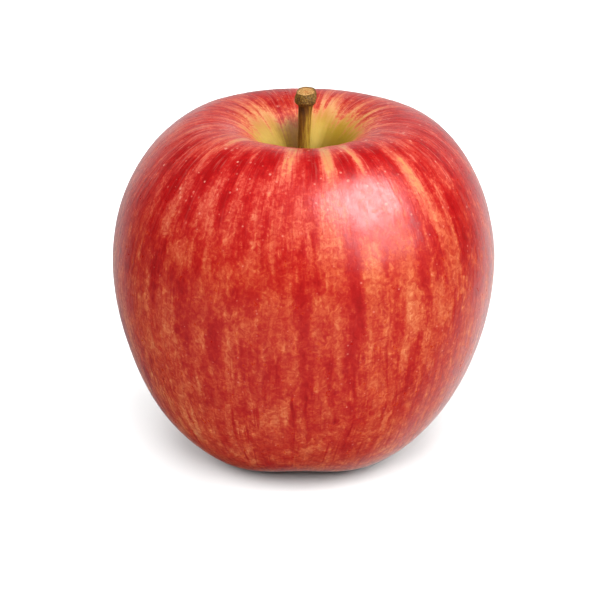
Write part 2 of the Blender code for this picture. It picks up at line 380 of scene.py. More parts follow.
# ---- pigment: what the skin's nodes read ------------------------------------
def skin_material():
    m = Nodes("apple_skin_material")
    ring = m.attribute("ring", "Vector")
    place = m.vec("SCALE", m.node("ShaderNodeTexCoord").outputs["Object"], scale=1000.0)
    s = m.attribute("s_mm")
    dark = m.attribute("stroke_dark")
    pale = m.attribute("stroke_pale")
    wash = m.attribute("wash")
    bare_by = m.attribute("cavity_mm")
    russet_and_shadow = m.attribute("russet_and_shadow")

    # the streaks wander a little sideways as they run down
    drift = m.noise(m.vec("MULTIPLY", ring, (2.2, 2.2, 1.6)), 1.0, 2.0, 0.5, 0.0, "Color")
    drift = m.vec("MULTIPLY", m.vec("SUBTRACT", drift, (0.5, 0.5, 0.5)), (0.12, 0.12, 0.0))
    run = m.vec("ADD", ring, drift)

    def streak(across, along, shift, detail, rough):
        at = m.vec("ADD", m.vec("MULTIPLY", run, (across, across, along)), (shift, shift * 0.7, shift * 1.3))
        return m.noise(at, 1.0, detail, rough)

    def swing(value, strength):
        return m.math("MULTIPLY", m.math("SUBTRACT", value, 0.5), strength)

    middle = streak(10.0, 1.5, 7.7, 2.0, 0.5)
    fine = streak(30.0, 4.2, 1.9, 3.0, 0.6)
    hair = streak(85.0, 7.0, 5.3, 2.0, 0.5)
    thread = streak(72.0, 3.4, 9.1, 2.0, 0.6)
    wisp = streak(26.0, 1.8, 3.9, 3.0, 0.55)
    patch = streak(13.0, 3.6, 6.1, 2.0, 0.5)
    lash = streak(34.0, 2.2, 12.3, 2.0, 0.6)
    blotch = m.noise(m.vec("MULTIPLY", place, (1.0, 1.0, 0.6)), 0.34, 3.0, 0.6)
    mottle = m.noise(m.vec("MULTIPLY", place, (1.0, 1.0, 0.85)), 0.74, 4.0, 0.60)
    fleck = m.noise(m.vec("MULTIPLY", place, (1.0, 1.0, 0.85)), 1.8, 3.0, 0.6, 0.4)
    crumple = m.noise(place, 0.82, 2.4, 0.58, 1.2)
    grain = m.noise(place, 2.6, 1.0, 0.5)

    # long threads on the shoulders, blots and flecks on the flank
    shoulder = m.span(m.math("ADD", s, swing(middle, 12.0)), 38.0, 54.0, 1.0, 0.0)
    flank = m.math("SUBTRACT", 1.0, shoulder)
    round_front = m.node("ShaderNodeSeparateXYZ", {"Vector": ring}).outputs["Y"]
    aside = m.span(round_front, -0.85, -0.35)
    crown = m.math("SUBTRACT", s, m.math("MULTIPLY", aside, 9.0))
    crown = m.math("MULTIPLY", m.span(m.math("ADD", crown, swing(middle, 6.0)), 23.0, 38.0, 1.0, 0.0), m.span(s, 14.0, 22.0))
    lower = m.span(s, 62.0, 84.0)

    quiet = m.span(bare_by, -2.0, 9.0, 0.45, 1.0)
    edge = m.total(swing(fine, 0.7), swing(blotch, 0.5), swing(mottle, 0.7), swing(fleck, 0.3))
    stroke = m.span(m.math("ADD", dark, edge), 0.10, 1.02)
    strip = m.span(m.math("ADD", pale, edge), 0.12, 1.05)
    density = m.total(
        wash,
        swing(middle, 0.38),
        m.math("MULTIPLY", m.math("MULTIPLY", swing(fine, 0.55), m.total(0.88, m.math("MULTIPLY", shoulder, 0.42), m.math("MULTIPLY", crown, 0.10))), quiet),
        m.math("MULTIPLY", m.math("MULTIPLY", swing(hair, 0.50), m.total(0.12, m.math("MULTIPLY", shoulder, 0.53), m.math("MULTIPLY", crown, 0.45))), quiet),
        m.math("MULTIPLY", m.span(lash, 0.56, 0.70), m.math("ADD", 0.06, m.math("MULTIPLY", lower, 0.20))),
        m.math("MULTIPLY", swing(blotch, 0.55), m.math("ADD", 0.60, m.math("MULTIPLY", flank, 0.55))),
        m.math("MULTIPLY", m.math("MULTIPLY", swing(mottle, 0.55), m.math("ADD", 0.74, m.math("MULTIPLY", flank, 0.06))), quiet),
        m.math("MULTIPLY", m.math("ADD", 0.70, m.math("MULTIPLY", shoulder, 0.05)), m.math("MULTIPLY", m.math("SUBTRACT", crumple, 0.5), m.math("SUBTRACT", 1.0, m.math("MULTIPLY", crown, 0.65)))),
        m.math("MULTIPLY", stroke, m.math("ADD", 0.26, m.math("MULTIPLY", shoulder, 0.16))),
        m.math("MULTIPLY", strip, m.total(-0.19, m.math("MULTIPLY", shoulder, -0.06), m.math("MULTIPLY", m.span(pale, 0.70, 0.98), -0.26))),
    )
    # the pigment lies in small flecks: where it is thin they stand apart, where it is dense they join
    flecks = m.span(m.math("ADD", density, swing(fleck, 1.7)), 0.36, 0.62)
    density = m.total(density, m.math("MULTIPLY", m.math("SUBTRACT", flecks, density), m.math("SUBTRACT", 0.12, m.math("MULTIPLY", flank, 0.06))), swing(grain, 0.09))

    # red pigment thins out inside the stem cavity and in the calyx basin
    frayed = m.total(swing(middle, 6.0), swing(fine, 2.2), swing(mottle, 2.0))
    cavity = m.span(m.math("ADD", bare_by, frayed), -7.0, 7.5, 1.0, 0.0)
    basin = m.span(m.math("ADD", s, frayed), LENGTH - 26.0, LENGTH - 12.0)
    density = m.math("SUBTRACT", density, m.math("MULTIPLY", cavity, 0.72))
    density = m.math("SUBTRACT", density, m.math("MULTIPLY", basin, 0.42))

    colour = m.ramp(
        density,
        [
            (0.00, srgb(236, 182, 120)),
            (0.10, srgb(227, 146, 94)),
            (0.22, srgb(216, 111, 67)),
            (0.36, srgb(204, 80, 46)),
            (0.50, srgb(192, 53, 30)),
            (0.64, srgb(184, 33, 21)),
            (0.78, srgb(176, 16, 13)),
            (0.90, srgb(167, 5, 6)),
            (1.00, srgb(158, 1, 0)),
        ],
    )
    # the crown and shoulders are a colder, pinker red than the flank
    pink = m.ramp(
        density,
        [
            (0.00, srgb(224, 148, 92)),
            (0.10, srgb(233, 136, 94)),
            (0.22, srgb(232, 112, 86)),
            (0.36, srgb(224, 82, 66)),
            (0.50, srgb(213, 56, 46)),
            (0.64, srgb(203, 36, 30)),
            (0.78, srgb(196, 19, 19)),
            (0.90, srgb(189, 9, 13)),
            (1.00, srgb(178, 3, 7)),
        ],
    )
    cold = m.span(m.math("ADD", s, swing(blotch, 10.0)), 34.0, 58.0, 0.9, 0.0)
    sunny = m.math("MULTIPLY", m.span(round_front, -0.2, 0.5), m.span(s, 28.0, 18.0, 0.0, 0.7))
    colour = m.mix(m.math("MULTIPLY", cold, m.math("SUBTRACT", 1.0, sunny)), colour, pink)
    # fine pinkish threads follow the meridians over the shoulders
    lines = m.math("MAXIMUM", m.span(thread, 0.55, 0.72), m.math("MULTIPLY", m.span(wisp, 0.56, 0.74), 0.6))
    lines = m.math("MULTIPLY", lines, m.math("MULTIPLY", m.span(patch, 0.36, 0.58, 0.35, 1.0), m.total(0.05, m.math("MULTIPLY", shoulder, 0.20), m.math("MULTIPLY", crown, 0.58))))
    lines = m.math("MULTIPLY", lines, m.math("ADD", 0.35, m.math("MULTIPLY", aside, 0.65)))
    colour = m.mix(lines, colour, srgb(240, 146, 130))

    # the cavity's bare ground, shifted darker and lightened by the painted shade and light of its walls
    ground = m.ramp(m.math("DIVIDE", m.math("ADD", s, m.attribute("painted_wall_shading")), 20.0), [(0.28, srgb(126, 96, 18)), (0.50, srgb(166, 134, 26)), (0.64, srgb(188, 144, 42)), (0.78, srgb(200, 136, 54)), (0.95, srgb(208, 118, 64))])
    ground = m.mix(m.math("MULTIPLY", m.attribute("painted_wall_light"), m.math("MULTIPLY", m.span(s, 6.0, 11.0), m.span(s, 17.0, 12.5))), ground, srgb(236, 206, 112))
    bare = m.math("MULTIPLY", m.span(cavity, 0.20, 0.90), m.span(density, 0.50, -0.05))
    colour = m.mix(bare, colour, ground)
    green = m.math("MULTIPLY", m.math("MULTIPLY", basin, m.span(density, 0.45, 0.05)), 0.8)
    colour = m.mix(green, colour, srgb(206, 176, 84))
    # rust brown low in the cavity and round the calyx, and the painted shadow of the stem on the cavity's far wall
    rust_and_shadow = m.math("MULTIPLY", m.span(m.total(russet_and_shadow, swing(fine, 0.5), swing(mottle, 0.5)), 0.15, 1.0), m.span(russet_and_shadow, 0.02, 0.30))
    colour = m.mix(m.math("MULTIPLY", rust_and_shadow, 0.86), colour, srgb(98, 52, 6))

    # pores: pale dots of mixed sizes
    pores = m.node("ShaderNodeTexVoronoi", {"Vector": place, "Scale": 0.80, "Randomness": 1.0})
    chance = m.node("ShaderNodeSeparateColor", {"Color": pores.outputs["Color"]})
    size = m.math("MULTIPLY", m.math("POWER", chance.outputs[0], 3.2), m.math("ADD", 0.10, m.math("MULTIPLY", shoulder, 0.10)))
    dot = m.span(pores.outputs["Distance"], size, m.math("ADD", size, 0.14), 1.0, 0.0)
    seen = m.math("MULTIPLY", dot, m.math("MULTIPLY", m.math("ADD", 0.16, m.math("MULTIPLY", chance.outputs[1], 0.60)), m.math("ADD", 0.55, m.math("MULTIPLY", shoulder, 0.45))))
    seen = m.math("MULTIPLY", seen, m.math("MULTIPLY", m.span(cavity, 0.1, 0.5, 1.0, 0.0), m.span(patch, 0.38, 0.58, 0.25, 1.0)))
    colour = m.mix(seen, colour, srgb(250, 170, 148))

    rough = m.total(0.23, m.math("MULTIPLY", mottle, 0.13), m.math("MULTIPLY", cavity, 0.60))
    coat = m.math("MULTIPLY", m.span(m.math("ADD", cavity, rust_and_shadow), 0.0, 0.7, 0.50, 0.0), m.total(1.0, swing(fine, 2.2), swing(hair, 0.8), swing(mottle, 3.2), swing(crumple, 2.0)), clamp=True)
    height = m.total(
        m.math("MULTIPLY", mottle, 1.0), m.math("MULTIPLY", crumple, 0.4), m.math("MULTIPLY", hair, 0.2), m.math("MULTIPLY", fine, 1.0)
    )
    bump = m.node("ShaderNodeBump", {"Strength": 0.55, "Distance": 0.00015, "Height": height})
    mat = m.finish(
        colour,
        rough,
        bump.outputs[0],
        Subsurface_Weight=0.10,
        Subsurface_Radius=(0.0018, 0.0007, 0.0005),
        Subsurface_Scale=1.0,
        Specular_IOR_Level=0.28,
        Coat_Roughness=0.21,
    )
    m.put(mat.node_tree.nodes["Principled BSDF"].inputs["Coat Weight"], coat)
    return mat


def lon(x):
    """Degrees round the stem, 0 at the front and positive to the right, as the mesh's angle."""
    return math.radians(x - 90.0)


def brush(strokes):
    """Soft strokes along the meridians: (longitude, start, end, width, strength, slant).
    Start and end are distances along the meridian and width is across it, in
    millimetres; slant is how many degrees the stroke moves from start to end."""
    field = np.zeros(s_grid.shape)
    for longitude, start, end, width, strength, slant in strokes:
        t = (s_grid - start) / (end - start)
        middle = lon(longitude) + math.radians(slant) * t
        gap = (a_grid - middle + math.pi) % (2 * math.pi) - math.pi
        across = gap * np.maximum(r_grid, 6.0)
        taper = np.interp(t, [-0.15, 0.12, 0.60, 0.9, 1.15], [0.0, 1.0, 1.0, 0.7, 0.0])
        near = np.exp(-(np.abs(across / (width * 0.60)) ** 2.5))
        field = np.maximum(field, strength * taper * near)
    return field


dark_strokes = [
    # under the front rim of the cavity
    (3.5, 17, 34.5, 2.7, 1.05, 0), (0.5, 16, 22, 3.2, 0.80, 0), (20.0, 27, 34.5, 2.9, 0.95, 0), (15.5, 29, 34, 1.4, 0.70, 0), (30.0, 24, 35, 2.5, 1.00, 1),
    (34.5, 28, 35, 1.6, 0.60, 0), (38.8, 24, 36, 2.7, 1.00, 0), (-17.0, 25, 34.5, 4.8, 0.95, -1), (-18.5, 27, 33, 2.0, 1.00, 0),
    (-30.0, 27, 36, 2.8, 0.90, 0), (-29.3, 35, 45, 2.2, 0.80, 0), (-33.0, 46, 58, 2.8, 0.60, -1), (-40.5, 29, 40, 3.6, 0.90, 0),
    (-41.5, 40, 50, 2.8, 0.65, -1), (-53.5, 33, 47, 3.8, 1.00, -1.5), (-55.5, 46, 62, 3.0, 0.95, -1), (-64.0, 28, 60, 3.0, 0.75, -2),
    (-23.0, 29, 33, 1.4, 0.60, 0), (-36.5, 30, 34, 1.4, 0.40, 0), (-48.5, 26, 30, 1.4, 0.45, 0), (-58.5, 32, 38, 1.4, 0.45, 0),
    (52.5, 34, 41, 2.4, 0.75, 0), (50.0, 27, 33, 1.6, 0.55, 0), (62.5, 30, 36, 2.4, 0.60, 0), (-20.5, 37, 46, 1.8, 0.50, 0),
    (-12.5, 41, 47, 1.8, 0.45, 0), (-71.0, 34, 50, 2.4, 0.50, 0), (-46.0, 44, 50, 1.6, 0.45, 0),
    # right of the middle
    (15.0, 45, 78, 3.2, 0.95, 1), (39.2, 41, 68, 2.8, 0.92, -2), (36.5, 66, 88, 3.2, 0.65, -5), (43.6, 46, 60, 2.6, 0.85, 2),
    (59.2, 42, 60, 3.8, 1.00, -3), (51.5, 62, 76, 4.0, 0.60, 1), (28.5, 58, 72, 2.8, 0.60, 0), (25.0, 48, 59, 1.8, 0.55, 0.5),
    (41.0, 77, 92, 3.4, 0.50, -2), (50.0, 74, 86, 4.0, 0.45, -3), (65.5, 38, 66, 3.0, 0.60, 1),
    # the middle
    (-1.0, 47, 80, 3.0, 0.85, 3), (3.0, 44, 50, 2.4, 0.50, 0), (5.0, 51, 57, 2.8, 0.45, 0), (7.2, 60, 65, 1.5, 0.55, 0),
    (8.0, 69, 81, 2.8, 0.60, 2), (10.5, 84, 99, 2.6, 0.55, -1), (16.5, 78, 97, 2.8, 0.60, 1), (20.5, 81, 93, 3.2, 0.50, 0),
    (-2.5, 81, 97, 3.2, 0.55, 0), (-8.5, 70, 81, 4.2, 0.58, 1), (-7.0, 47, 60, 3.0, 0.40, 0),
    # left of the middle
    (-19.5, 38, 62, 2.8, 0.60, -1), (-17.5, 66, 79, 4.0, 0.50, -1), (-18.5, 79, 98, 3.4, 0.60, 0), (-26.0, 61, 73, 4.8, 0.60, -1),
    (-24.5, 72, 84, 2.6, 0.45, 0), (-37.5, 54, 78, 4.8, 0.80, 2), (-48.0, 49, 62, 3.4, 0.85, -2), (-31.0, 78, 86, 2.4, 0.60, 0),
    (-28.0, 86, 96, 2.6, 0.50, 0), (-56.5, 55, 66, 4.0, 0.55, -1), (-64.0, 34, 60, 4.0, 0.60, -3), (-39.0, 80, 88, 2.4, 0.45, 0),
    (-44.0, 30, 46, 2.0, 0.45, -2), (-35.0, 29, 36, 2.6, 0.45, 0),
]
pale_strokes = [
    # the bare streaks under the rim
    (-7.5, 21, 37, 3.6, 0.98, -1), (-9.5, 35, 38, 1.2, 0.70, 0), (12.0, 21, 37, 3.7, 0.98, -2),
    # the pale strokes at 36 to 46.5 degrees beside the key highlight are partly the skin's pale streaks and partly a
    # painted highlight that widens it to the right
    (25.0, 21, 36, 3.0, 0.95, 0), (45.0, 26, 33, 2.6, 0.70, 0), (45.3, 30, 45, 4.0, 0.92, 1), (46.5, 43, 52, 3.0, 0.72, 3.5), (36.4, 33, 40, 2.0, 0.60, -2), (-46.5, 20, 31, 2.8, 0.90, 0),
    (-54.5, 20, 31, 3.6, 0.75, 0), (-27.0, 20, 27, 2.8, 0.75, 0), (-60.5, 21, 27, 2.0, 0.55, 0), (-34.5, 21, 29, 2.4, 0.50, 0),
    (-57.5, 30, 34, 1.4, 0.55, 0), (-48.0, 31, 37, 2.2, 0.55, 0), (-26.0, 34, 46, 1.6, 0.60, 0), (57.5, 27, 34, 2.2, 0.55, 0),
    (-14.5, 30, 36, 1.8, 0.45, 0), (-35.0, 32, 36, 1.6, 0.45, 0), (-2.0, 37, 46, 2.8, 0.55, 0), (-8.5, 38, 47, 2.2, 0.60, 0),
    # the strokes from 6.5 to 33 degrees on the next line lie in the key highlight: partly the skin's pale streaks,
    # partly a painted highlight that streaks it
    (66.0, 22, 28, 2.0, 0.50, 0), (-66.5, 24, 34, 2.0, 0.45, 0), (11.5, 45, 53, 1.9, 0.70, 0), (6.5, 36, 47, 2.0, 0.70, 0), (14.0, 38, 50, 1.6, 0.60, 0.5), (21.0, 37, 46, 1.6, 0.55, 0), (33.0, 38, 47, 1.8, 0.60, 0),
    # orange ground showing between the red streaks
    (-47.5, 37, 50, 4.0, 0.65, 0), (-36.0, 34, 47, 4.2, 0.65, -1), (-18.5, 41, 45, 3.4, 0.70, 0),
    # the stroke at 10.5 degrees is partly orange ground and partly a painted highlight at the lower left of the key
    # highlight
    (10.5, 35, 56, 3.0, 0.64, -1), (8.0, 45, 56, 4.6, 0.50, 0),
    (21.5, 46, 62, 5.6, 0.60, 0), (32.5, 47, 74, 4.2, 0.75, -1), (5.5, 57, 71, 6.4, 0.65, 1), (50.5, 45, 61, 2.8, 0.65, 1),
    (44.5, 58, 68, 3.8, 0.60, 0), (-16.5, 49, 57, 3.6, 0.65, 0), (-16.5, 62, 67, 3.2, 0.50, 0), (-7.0, 54, 68, 3.6, 0.50, 0),
    (-22.0, 64, 73, 3.0, 0.45, 0), (-29.0, 58, 66, 3.4, 0.45, 0), (-40.0, 48, 57, 4.0, 0.60, 0), (-33.5, 63, 73, 4.6, 0.50, 0),
    (-43.5, 59, 73, 5.6, 0.50, -1), (-31.5, 80, 92, 5.2, 0.50, 1), (-43.0, 79, 97, 6.4, 0.65, 3), (-7.0, 79, 92, 5.0, 0.60, 0),
    (-3.0, 67, 79, 3.4, 0.55, 0), (5.5, 74, 86, 4.4, 0.55, 0), (9.0, 86, 98, 5.0, 0.40, 0), (24.5, 74, 92, 6.4, 0.50, -1),
    (-24.0, 87, 100, 6.0, 0.45, 1), (41.0, 66, 75, 3.6, 0.45, 0), (-51.0, 68, 82, 5.0, 0.45, 0), (-57.0, 40, 52, 2.0, 0.35, 0),
]
# the far wall of the cavity and the crown behind it
dark_strokes += [
    (-174.0, 13, 25, 2.2, 0.60, 0), (-167.0, 13, 24, 2.6, 0.58, 0), (-159.0, 14, 25, 2.8, 0.62, 0), (-152.0, 19, 26, 1.6, 0.50, 0),
    (-141.0, 19, 25, 1.0, 0.55, 0), (-125.0, 18, 26, 1.6, 0.48, 0), (-110.0, 20, 30, 1.6, 0.50, 0), (-100.0, 22, 32, 2.0, 0.45, 0),
    (-86.0, 23, 33, 3.0, 0.48, 0), (-73.0, 22, 33, 2.2, 0.50, 0), (64.0, 21, 35, 3.4, 0.50, 0), (86.0, 22, 32, 2.2, 0.48, 0),
    (108.0, 18, 25, 1.4, 0.48, 0), (122.0, 18, 25, 1.8, 0.48, 0), (140.0, 18, 26, 2.2, 0.52, 0), (147.0, 20, 25, 1.2, 0.50, 0),
    (160.5, 18, 25, 1.0, 0.48, 0), (169.5, 16, 25, 1.6, 0.52, 0), (177.0, 18, 25, 1.6, 0.50, 0),
]
pale_strokes += [
    (-147.0, 15, 26, 1.8, 0.55, 0), (-137.0, 15, 28, 1.8, 0.65, 0), (-131.0, 15, 28, 2.0, 0.70, 0), (-116.0, 14, 27, 2.2, 0.65, 0),
    (-105.0, 17, 27, 0.9, 0.70, 0), (-95.0, 16, 24, 1.2, 0.55, 0), (-163.5, 17, 24, 0.5, 0.78, 0), (98.0, 18, 29, 1.4, 0.60, 0),
    (114.0, 18, 27, 1.6, 0.60, 0), (131.5, 18, 28, 1.8, 0.60, 0), (155.0, 16, 30, 2.0, 0.82, 0), (165.0, 16, 28, 1.4, 0.76, 0),
    (149.0, 15, 20, 1.4, 0.78, 0), (-80.0, 24, 34, 1.2, 0.78, 0),
]
# the sides and the back carry streaks of the same kinds
draw = np.random.default_rng(20)
for i in range(150):
    longitude = 62.0 + (236.0 * (i + draw.uniform(0, 1)) / 150)
    start = draw.choice([26.0, 34.0, 46.0, 58.0, 72.0, 84.0]) + draw.uniform(-5, 5)
    length = draw.uniform(9, 28)
    stroke = (longitude, start, min(start + length, 100.0), draw.uniform(2.2, 5.2), draw.uniform(0.45, 0.75) if i % 2 == 0 else draw.uniform(0.5, 1.0), draw.uniform(-3, 3))
    (dark_strokes if i % 2 else pale_strokes).append(stroke)

# the red is deepest on the shoulders, and thins towards the foot and at the lower left
wash = 0.464 + 0.045 * smooth((46.0 - s_grid) / 14.0) * smooth((s_grid - 20.0) / 8.0)
side = (a_grid - lon(0.0) + math.pi) % (2 * math.pi) - math.pi
wash -= 0.03 * smooth((s_grid - 76.0) / 12.0)
wash -= 0.03 * smooth((side - math.radians(10)) / 0.35) * smooth((1.25 - side) / 0.3) * smooth((s_grid - 50.0) / 12.0)
wash += 0.03 * np.exp(-((side / 0.5) ** 2) - (((s_grid - 80.0) / 9.0) ** 2))
wash -= 0.06 * np.exp(-(((side - math.radians(4)) / 0.18) ** 2) - (((s_grid - 46.0) / 8.0) ** 2))
wash -= 0.05 * np.exp(-(((side - math.radians(-47)) / 0.38) ** 2) - (((s_grid - 80.0) / 17.0) ** 2))
wash -= 0.03 * np.exp(-(((side - math.radians(26)) / 0.30) ** 2) - (((s_grid - 60.0) / 14.0) ** 2))
wash += 0.05 * np.exp(-(((side - math.radians(-34)) / 0.40) ** 2) - (((s_grid - 38.0) / 16.0) ** 2))

# a deeper red painted under the key highlight, to tone the highlight down
wash += 0.12 * np.exp(-(((side - math.radians(23)) / 0.28) ** 4) - (((s_grid - 39.5) / 6.0) ** 4))
wash += 0.05 * np.exp(-(((side - math.radians(66)) / 0.20) ** 2) - (((s_grid - 62.0) / 20.0) ** 2))
wash += 0.03 + 0.02 * np.exp(-((side / 0.42) ** 2) - (((s_grid - 68.0) / 18.0) ** 2))

# the cavity is bare of red up to this far from the stem, by degrees round from the front
turn = np.degrees(side)
bare_to = np.interp(
    turn,
    [-180, -165, -152, -146, -125, -112, -95, -60, -20, 20, 60, 90, 110, 130, 150, 158, 166, 172, 180],
    [15.0, 14.6, 14.8, 16.5, 17.0, 17.0, 16.0, 15.0, 13.5, 13.5, 15.0, 16.5, 17.2, 17.6, 17.0, 17.8, 17.4, 15.5, 15.0],
)
# and rusty brown low in the cavity by the stem and round the calyx tube; the brown band behind the stem, reaching
# furthest on its left, is a painted shadow of the stem
shade = np.interp(turn, [-180, -172, -162, -150, -140, -128, -112, 145, 158, 168, 174, 180], [0.78, 0.92, 0.88, 0.62, 0.36, 0.14, 0.0, 0.0, 0.10, 0.28, 0.50, 0.78])
russet_and_shadow = smooth((7.5 - s_grid) / 5.0) + 1.0 * shade * smooth((18.5 - s_grid) / 5.5)
russet_and_shadow += 0.7 * smooth((s_grid - (LENGTH - 11.0)) / 6.0)
# painted light and shade on the cavity's walls: the bare ground is paler and more golden on the left wall and just
# right of the stem, which face the key lamp, and greener and darker on the right wall, which is turned away from it
painted_wall_light = np.interp(turn, [-180, -152, -143, -118, -95, -60, 130, 148, 158, 168, 176, 180], [0.0, 0.0, 0.30, 0.60, 0.30, 0.0, 0.0, 0.12, 0.45, 0.45, 0.12, 0.0])
painted_wall_shading = np.interp(turn, [-180, -150, -135, -60, 60, 95, 125, 150, 165, 180], [-1.5, -0.5, 0.6, 0.0, -1.0, -2.4, -3.0, -2.6, -1.0, -1.5])

skin_mat = skin_material()
fruit = grid_object("apple_skin", skin, True, True, skin_mat, halves=2)
mesh = fruit.data
point_vectors(mesh, "ring", ends(ring, COLUMNS))
for name, field in (
    ("s_mm", s_grid),
    ("stroke_dark", brush(dark_strokes)),
    ("stroke_pale", brush(pale_strokes)),
    ("wash", wash),
    ("cavity_mm", s_grid - bare_to),
    ("russet_and_shadow", russet_and_shadow),
    ("painted_wall_shading", painted_wall_shading),
    ("painted_wall_light", painted_wall_light),
):
    point_floats(mesh, name, ends(field.ravel(), COLUMNS))
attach(fruit, "root")
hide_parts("fruit")

# ============================================================================
# the stem
# ============================================================================
STEM_FOOT_Z = CAVITY_FLOOR_Z - SOCKET_DEPTH - SETTLE + STEM_GAP
STEM_FOOT_X = LEAN * (STEM_FOOT_Z - WAIST_Z)
NECK_Z = STEM_TOP_Z - KNOB_LENGTH
# (height, radius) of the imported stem: shaft, flare of the knob and its upper edge
STEM_LINE = np.array(
    [
        (STEM_FOOT_Z, STEM_FOOT_R * 0.85),
        (STEM_FOOT_Z + 0.5, STEM_FOOT_R),
        (STEM_FOOT_Z + 5.0, STEM_FOOT_R),
        (STEM_FOOT_Z + 9.0, (STEM_FOOT_R + STEM_SHAFT_R) / 2),
        (STEM_FOOT_Z + 13.0, STEM_SHAFT_R),
        (NECK_Z - 3.0, (STEM_SHAFT_R + STEM_NECK_R) / 2),
        (NECK_Z - 0.6, STEM_NECK_R),
        (NECK_Z + 0.4, STEM_NECK_R * 1.14),
        (NECK_Z + 1.0, KNOB_R * 0.95),
        (NECK_Z + 1.6, KNOB_R),
        (STEM_TOP_Z - 0.7, CUT_R * 1.05),
        (STEM_TOP_Z - 0.12, CUT_R),
    ]
)


def eased(values, times):
    values = values.copy()
    for _ in range(times):
        values[1:-1] = (values[:-2] + 2 * values[1:-1] + values[2:]) / 4
    return values


STEM_COLUMNS = 112
side_z = np.concatenate([np.linspace(STEM_FOOT_Z, NECK_Z - 1.0, 130, endpoint=False), np.linspace(NECK_Z - 1.0, STEM_TOP_Z - 0.12, 52)])
side_r = eased(np.interp(side_z, *STEM_LINE.T), 6)
face_q = np.linspace(0.985, 0.03, 26)                      # over the cut face, from its edge to its middle
stem_z = np.concatenate([side_z, np.full(len(face_q), STEM_TOP_Z - 0.06)])
stem_r = np.concatenate([side_r, CUT_R * face_q])
on_face = np.concatenate([np.zeros(len(side_z)), np.ones(len(face_q))])
face_reach = np.concatenate([np.ones(len(side_z)), face_q])
phi = np.arange(STEM_COLUMNS) / STEM_COLUMNS * 2 * math.pi
zz, pp = np.meshgrid(stem_z, phi, indexing="ij")
rr, _ = np.meshgrid(stem_r, phi, indexing="ij")
face, _ = np.meshgrid(on_face, phi, indexing="ij")
reach, _ = np.meshgrid(face_reach, phi, indexing="ij")
twist = pp + 0.035 * (zz - STEM_FOOT_Z)
knob = smooth((zz - (NECK_Z - 0.2)) / 1.4)
circle = np.stack([np.cos(twist), np.sin(twist)], -1)


def stem_noise(across, along, seed):
    at = np.concatenate([circle * across, (zz * along)[..., None]], -1).reshape(-1, 3)
    return noise_field(at, 1.0, seed).reshape(zz.shape)


ridges = stem_noise(2.4, 0.10, 11.0)
fibres = stem_noise(7.5, 0.35, 12.0)
bark = stem_noise(3.2, 1.5, 13.0)
crust = stem_noise(8.0, 3.0, 14.0)
lobed = 1.0 + 0.03 * np.cos(3 * pp + 0.6)
lumpy = 0.055 * np.cos(2 * pp - 1.1) + 0.045 * np.cos(5 * pp + 2.0) * knob
hollow = 0.10 * ridges + 0.045 * fibres + knob * (0.20 * bark + 0.08 * crust)
# the shaft narrows in a waist under the knob, and the knob hangs over it unevenly
under = np.exp(-(((zz - (NECK_Z + 0.15)) / 0.55) ** 2)) * (0.10 + 0.16 * np.cos(pp - math.radians(200)))
body_r = rr * (lobed + knob * lumpy) + np.minimum(hollow, 0.06) - under * 0.35
depth = np.zeros_like(zz)
inward = 1.0 - reach
depth -= face * (0.20 * smooth(inward / 0.16) - 0.10 * smooth((inward - 0.3) / 0.6))
depth -= face * (0.16 * np.exp(-((reach / 0.13) ** 2)) + 0.07 * (crust * 0.5 + 0.5) * smooth(inward / 0.2))
depth -= face * 0.05 * (0.5 + 0.5 * np.cos(reach * 34.0 + 3.0 * ridges)) * smooth(inward / 0.2)
face_edge = body_r[len(side_z) - 1][None, :]
body_r = np.where(face > 0.5, face_edge * reach, body_r)
along_stem = (zz - STEM_FOOT_Z) / (STEM_TOP_Z - STEM_FOOT_Z)
bow = 0.18 * np.sin(math.pi * along_stem)
middle_x = STEM_FOOT_X + (STEM_TOP_X - STEM_FOOT_X) * along_stem - bow
middle_y = STEM_TOP_Y * along_stem
tilt = CUT_TILT * smooth((zz - NECK_Z) / KNOB_LENGTH)
local_x = body_r * np.cos(pp)
local_y = body_r * np.sin(pp)
stem_points = np.stack(
    [
        middle_x + local_x,
        middle_y + local_y * np.cos(tilt) - depth * np.sin(tilt),
        np.minimum(zz + local_y * np.sin(tilt) + depth * np.cos(tilt), STEM_TOP_Z + CUT_R * 0.93 * math.sin(CUT_TILT)),
    ],
    -1,
)


